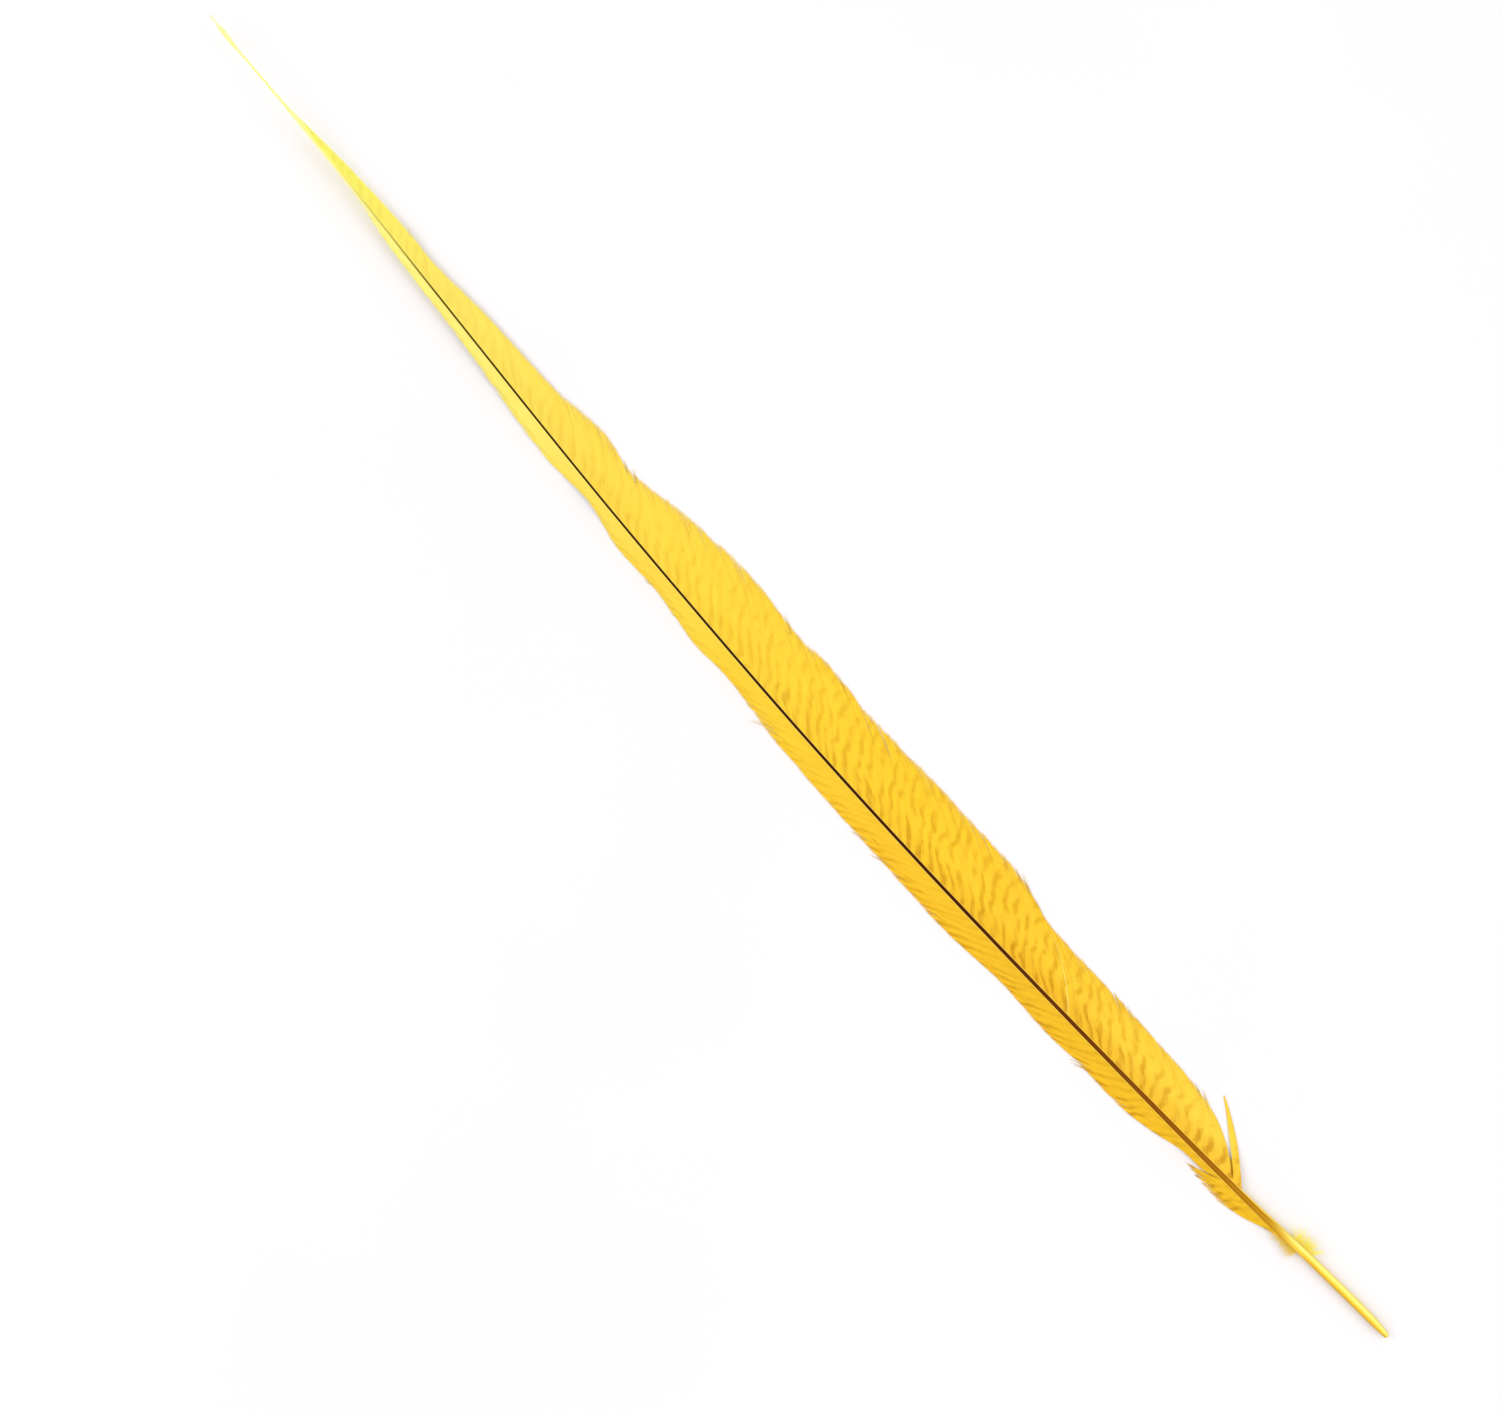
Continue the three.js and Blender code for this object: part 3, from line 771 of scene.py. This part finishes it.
random = np.random.default_rng(11)
wide_roots = np.arange(WIDE_FOOT, VANE_TOP, WIDE_SPACING)
wide_roots = wide_roots + random.uniform(-ROOT_JITTER, ROOT_JITTER, len(wide_roots))
wide_seams = WIDE_FOOT + np.cumsum(random.uniform(*WIDE_LOCK_WIDTHS, WIDE_LOCKS))
wide_seams = np.sort(np.append(wide_seams, WIDE_PARTING[0]))
wide_barbs = barb_lines(
    wide_vane, wide_roots, locks_of(wide_roots, wide_seams, WIDE_CLUMP, random),
    WIDE_STEPS, WIDE_SPACING, random, WIDE_STRAYS, WIDE_PARTING,
)
one_lock = np.array([WIDE_FOOT])
loose_roots = np.arange(LOOSE_FOOT, LOOSE_TOP, LOOSE_SPACING)
loose_ones = barb_lines(
    loose_lock, loose_roots, locks_of(loose_roots, one_lock, LOOSE_CLUMP, random),
    WIDE_STEPS, WIDE_SPACING, random,
)
short_roots = np.arange(SHORT_FOOT, WIDE_FOOT, LOOSE_SPACING)
short_ones = barb_lines(
    short_barbs, short_roots, locks_of(short_roots, one_lock, SHORT_CLUMP, random),
    WIDE_STEPS, WIDE_SPACING, random,
)
wide_material = barb_material(
    "wide_vane_barbs",
    base=[
        (0.16, srgb(246, 208, 66)), (0.28, srgb(244, 199, 47)), (0.42, srgb(246, 202, 43)),
        (0.55, srgb(247, 209, 58)), (0.68, srgb(246, 215, 78)), (0.8, srgb(246, 226, 99)),
        (0.88, srgb(247, 241, 104)), (0.95, srgb(247, 246, 112)),
    ],
    marks=[(0.2, srgb(212, 158, 20)), (0.4, srgb(220, 168, 22)), (0.7, srgb(236, 198, 56))],
    mark_strength=[(0.12, 0.7), (0.24, 0.82), (0.4, 0.92), (0.5, 0.74), (0.62, 0.4), (0.8, 0.12)],
    mark_reach=(1.0, 0.55),
    mark_angle=41,
    mark_bend=0.022,
    mark_pitch=4.3,
    mark_seed=2.0,
    root_shade=0.6,
)
wide_piece = fibre_piece(
    "wide_vane_barbs", [wide_barbs, loose_ones, short_ones], BARB_SIDES, BARB_FLATNESS, wide_material
)
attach(wide_piece, "root")
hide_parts("wide_vane")


# The narrow vane
# The web on the other side of the shaft. Its barbs are shorter and lie closer along the shaft. Below a
# notch it has a small lobe, whose barbs have come unhooked and end in separate points.

narrow_vane = {
    "side": 1,
    "root_angle": 24,
    "edge_angle": 9,
    "margin": profile(
        (66, 2.9), (78, 3.0), (85, 4.3), (96, 6.6), (119, 6.8), (129, 7.3), (147, 6.6), (170, 7.8),
        (203, 7.6), (243, 7), (265, 5.5), (277, 6.4), (296, 4.8), (311, 5.4), (328, 3.3), (345, 4.9),
        (384, 2.9), (420, 2.1), (434, 0.8), (461, 0.6), (470, 0.36), (486, 0.34), (492, 0.6),
        (497, 0.5), (LENGTH, 0.3),
    ),
}
lobe = {
    "side": 1,
    "root_angle": 24,
    "edge_angle": 9,
    "margin": profile(
        (41, 1.7), (47, 2.4), (50, 3.1), (55, 4.6), (61, 5.9), (70, 5.3), (77, 4), (80, 3.4)
    ),
}
LOBE_FOOT = 40
LOBE_TOP = 64.5
NARROW_FOOT = 65.1
NARROW_SPACING = 0.56
NARROW_STEPS = 13
LOBE_LOCKS = 10
LOBE_LOCK_WIDTHS = (1.4, 4.8)
LOBE_CLUMP = (0.6, 1.0)
NARROW_LOCKS = 90
NARROW_LOCK_WIDTHS = (3, 10)
NARROW_CLUMP = (0.0, 0.3)
LOBE_STRAYS = ((71, 0.4), (76, 0.3))
NARROW_STRAYS = ((117, 1.6), (119, 1.1), (199, 1.2), (208, 1.0), (250, 3.2), (300, 0.6))

random = np.random.default_rng(23)
lobe_roots = np.arange(LOBE_FOOT, LOBE_TOP, NARROW_SPACING)
lobe_seams = LOBE_FOOT + np.cumsum(random.uniform(*LOBE_LOCK_WIDTHS, LOBE_LOCKS))
lobe_barbs = barb_lines(
    lobe, lobe_roots, locks_of(lobe_roots, lobe_seams, LOBE_CLUMP, random),
    NARROW_STEPS, NARROW_SPACING, random, LOBE_STRAYS,
)
narrow_roots = np.arange(NARROW_FOOT, VANE_TOP, NARROW_SPACING)
narrow_roots = narrow_roots + random.uniform(-ROOT_JITTER, ROOT_JITTER, len(narrow_roots))
narrow_seams = LOBE_TOP + np.cumsum(random.uniform(*NARROW_LOCK_WIDTHS, NARROW_LOCKS))
narrow_barbs = barb_lines(
    narrow_vane, narrow_roots, locks_of(narrow_roots, narrow_seams, NARROW_CLUMP, random),
    NARROW_STEPS, NARROW_SPACING, random, NARROW_STRAYS,
)
narrow_material = barb_material(
    "narrow_vane_barbs",
    base=[
        (0.16, srgb(240, 192, 36)), (0.28, srgb(240, 190, 35)), (0.4, srgb(243, 197, 42)),
        (0.52, srgb(246, 208, 54)), (0.64, srgb(246, 219, 84)), (0.72, srgb(247, 232, 112)),
        (0.86, srgb(247, 242, 136)),
    ],
    marks=[(0.2, srgb(206, 152, 14)), (0.4, srgb(218, 166, 22)), (0.7, srgb(238, 206, 68))],
    mark_strength=[(0.1, 0.7), (0.2, 0.72), (0.28, 0.66), (0.36, 0.56), (0.45, 0.36), (0.6, 0.12)],
    mark_reach=(0.55, 2.0),
    mark_angle=28,
    mark_bend=0.0,
    mark_pitch=3.7,
    mark_seed=21.0,
    root_shade=0.0,
)
narrow_piece = fibre_piece(
    "narrow_vane_barbs", [lobe_barbs, narrow_barbs], BARB_SIDES, BARB_FLATNESS, narrow_material
)
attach(narrow_piece, "root")
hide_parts("narrow_vane")


# The down
# Two tufts of soft plumes where the vanes begin, a full one on the wide side of the quill and a few wisps
# on the other. A plume is a hair-thin barb with fine loose barbules, which never hook together.

PLUME_STEPS = 7
PLUME_HALF_WIDTH = 0.06
PLUME_TAPER = 0.6
PLUME_SINK = 0.25
PLUME_SPLAY = 0.3
PLUME_CURL = 1.1
CURL_PIVOT = 0.3
LIFT_POWER = 1.3
LOWEST_PLUME = 0.1
BARBULE_STEPS = 2
BARBULES_FROM = 0.1
BARBULE_LENGTHS = (0.3, 0.85)
BARBULE_SHORTENING = 0.4
BARBULE_SPREAD = np.array([1, 1, 0.4])
BARBULE_MIDDLE = (0.62, 0.3)
BARBULE_TIP = (0.9, 0.8)
BARBULE_BEND = 0.12
BARBULE_HALF_WIDTH = 0.013
BARBULE_TAPER = np.array([[1.0, 0.85, 0.4]])
BARBULE_CHANCE_TONE = 0.3
LOWEST_BARBULE = 0.06
DOWN_SIDES = 3
DOWN_ROUNDNESS = 1.0
DOWN_STRIPS = 64
DOWN_TONE_DEPTH = 0.3
DOWN_TONE_SHADE = (1.0, 0.86, 0.3, 1)


def plume_lines(side, count, roots, lengths, heading, rise, barbules, random):
    """Curling plumes from the side of the quill, and the barbules along them."""
    share = np.linspace(0, 1, PLUME_STEPS + 1)[None, :]
    root = random.uniform(*roots, count)[:, None]
    toward = (root - roots[0]) / (roots[1] - roots[0])
    length = random.uniform(*lengths, count)[:, None]
    curl = random.normal(0, PLUME_CURL, count)[:, None]
    splay = random.normal(0, PLUME_SPLAY, count)[:, None]
    angle = heading[0] + (heading[1] - heading[0]) * toward + splay
    angle = angle + curl * (share - CURL_PIVOT)
    step = length / PLUME_STEPS
    station = root + np.cumsum(np.sin(angle) * step, axis=1) - np.sin(angle[:, :1]) * step
    outward = np.cumsum(np.cos(angle) * step, axis=1) - np.cos(angle[:, :1]) * step
    lift = random.uniform(*rise, count)[:, None]
    offset = side * (shaft_half_width(root) - PLUME_SINK + outward)
    height = np.maximum(shaft_height(root) + lift * share**LIFT_POWER, LOWEST_PLUME)
    points = placed(station, offset, height)
    half_width = np.repeat(PLUME_HALF_WIDTH * (1 - PLUME_TAPER * share), count, axis=0)
    stems = {
        "points": points,
        "half_width": half_width,
        "twist": np.zeros_like(half_width),
        "place": np.stack(np.broadcast_arrays(station, np.abs(offset), share), axis=-1),
        "tone": random.uniform(0, 1, count),
    }

    which = np.repeat(np.arange(count), barbules)
    every = np.tile((np.arange(barbules) + 0.5) / barbules, count)
    at = every * (1 - BARBULES_FROM) + BARBULES_FROM
    foot = np.clip((at * PLUME_STEPS).astype(int), 0, PLUME_STEPS - 1)
    part = (at * PLUME_STEPS - foot)[:, None]
    start, end = points[which, foot], points[which, foot + 1]
    along = (end - start) / np.linalg.norm(end - start, axis=1)[:, None]
    aside = random.normal(0, 1, (len(which), 3)) * BARBULE_SPREAD
    aside -= along * (aside * along).sum(axis=1)[:, None]
    aside /= np.linalg.norm(aside, axis=1)[:, None]
    length = random.uniform(*BARBULE_LENGTHS, len(which)) * (1 - BARBULE_SHORTENING * at)
    length = (length * MM)[:, None]
    base = start + (end - start) * part
    bend = random.normal(0, BARBULE_BEND, (len(which), 3)) * length
    middle = base + (aside * BARBULE_MIDDLE[0] + along * BARBULE_MIDDLE[1]) * length + bend
    tip = base + (aside * BARBULE_TIP[0] + along * BARBULE_TIP[1]) * length
    hairs = np.stack([base, middle, tip], axis=1)
    hairs[:, :, 2] = np.maximum(hairs[:, :, 2], LOWEST_BARBULE * MM)
    width = np.repeat(BARBULE_HALF_WIDTH * BARBULE_TAPER, len(which), axis=0)
    hair_share = np.repeat(np.linspace(0, 1, BARBULE_STEPS + 1)[None, :], len(which), axis=0)
    hair_station = station[which, foot][:, None]
    chance = random.uniform(0, 1, len(which))
    fuzz = {
        "points": hairs,
        "half_width": width,
        "twist": np.zeros_like(width),
        "place": np.stack(np.broadcast_arrays(hair_station, hair_share, hair_share), axis=-1),
        "tone": BARBULE_CHANCE_TONE * chance + (1 - BARBULE_CHANCE_TONE) * (1 - at),
    }
    return [stems, fuzz]


def down_material(name, root, tip):
    """Matte down. A faint emission stands in for the light that real down lets through."""
    material, wire = new_material(name)
    _, along, tone = wire.attribute("fibre").parts()
    colour = along.ramp((0.0, root), (0.4, tip))
    colour = (tone * DOWN_TONE_DEPTH).between(colour, DOWN_TONE_SHADE, "MULTIPLY")
    wire.surface(
        Base_Color=colour,
        Roughness=tone * 0.1 + 0.75,
        Specular_IOR_Level=0.1,
        Emission_Color=colour,
        Emission_Strength=0.1,
    )
    return material


lemon_down = down_material("lemon_down", srgb(255, 234, 66), srgb(255, 245, 104))
amber_down = down_material("amber_down", srgb(230, 190, 46), srgb(238, 212, 86))
random = np.random.default_rng(5)
wide_down = plume_lines(
    side=-1, count=72, roots=(31.5, 38), lengths=(1.4, 4.6), heading=(-0.35, 0.5),
    rise=(0.3, 1.4), barbules=32, random=random,
)
narrow_down = plume_lines(
    side=1, count=60, roots=(35, 41), lengths=(1.2, 4.0), heading=(0.75, 1.25),
    rise=(-0.4, 0.3), barbules=34, random=random,
)
wide_tuft = fibre_piece(
    "wide_side_down_plumes", wide_down, DOWN_SIDES, DOWN_ROUNDNESS, lemon_down, DOWN_STRIPS
)
narrow_tuft = fibre_piece(
    "narrow_side_down_plumes", narrow_down, DOWN_SIDES, DOWN_ROUNDNESS, amber_down, DOWN_STRIPS
)
for tuft, node in ((wide_tuft, "wide_side_down"), (narrow_tuft, "narrow_side_down")):
    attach(tuft, "root")
    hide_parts(node)


# The table, the light and the camera
# A white table top, a soft light at either end of the feather in a white room, and a long lens that looks
# straight down.

FLOOR_SIZE = 8.0
FLOOR_DROP = 0.0001
FLOOR_CLOUD_SCALE = 5.0
SKY_COLOUR = (1.0, 0.985, 0.99, 1)
SKY_STRENGTH = 0.9
SOFTBOX_SIZE = 1.0
SOFTBOX_POWER = 3.6
SOFTBOXES = (("softbox_at_tip", (0.62, 0.62, 0.85)), ("softbox_at_quill", (-0.62, -0.62, 0.85)))
VIEW_WIDTH = 0.42407
VIEW_HEIGHT = 3 * MM
VIEW_MIDDLE = (0.0033, 0.0124)
VIEW_TURN = np.radians(-131.85)
LENS = 110.0
SENSOR = 36.0


def floor_material():
    material, wire = new_material("white_table")
    spot = wire.add("ShaderNodeTexCoord", output=3)
    scaling = {0: spot, "Scale": FLOOR_CLOUD_SCALE}
    cloud = wire.noise(wire.add("ShaderNodeVectorMath", {"operation": "SCALE"}, scaling), detail=3.0)
    colour = cloud.step(0.3, 0.7).between(srgb(238, 236, 237), srgb(241, 239, 240))
    wire.surface(Base_Color=colour, Roughness=cloud * 0.1 + 0.6, Specular_IOR_Level=0.2)
    return material


half = FLOOR_SIZE / 2
floor_mesh = bpy.data.meshes.new("table_top")
floor_mesh.from_pydata(
    [(x, y, -FLOOR_DROP) for x, y in ((-half, -half), (half, -half), (half, half), (-half, half))],
    [], [(0, 1, 2, 3)],
)
floor_mesh.materials.append(floor_material())
floor = bpy.data.objects.new("table_top", floor_mesh)
bpy.context.scene.collection.objects.link(floor)

world = bpy.data.worlds.new("studio")
world.use_nodes = True
sky = world.node_tree.nodes["Background"]
sky.inputs["Color"].default_value = SKY_COLOUR
sky.inputs["Strength"].default_value = SKY_STRENGTH
bpy.context.scene.world = world

for name, place in SOFTBOXES:
    light = bpy.data.lights.new(name, "AREA")
    light.shape = "DISK"
    light.size = SOFTBOX_SIZE
    light.energy = SOFTBOX_POWER
    softbox = bpy.data.objects.new(name, light)
    softbox.location = place
    softbox.rotation_euler = (-softbox.location).to_track_quat("-Z", "Y").to_euler()
    bpy.context.scene.collection.objects.link(softbox)

camera_data = bpy.data.cameras.new("camera")
camera_data.sensor_width = SENSOR
camera_data.lens = LENS
camera = bpy.data.objects.new("camera", camera_data)
camera.location = (*VIEW_MIDDLE, VIEW_WIDTH * LENS / SENSOR + VIEW_HEIGHT)
camera.rotation_euler = (0, 0, VIEW_TURN)
bpy.context.scene.collection.objects.link(camera)
bpy.context.scene.camera = camera
bpy.context.scene.view_settings.view_transform = "Standard"
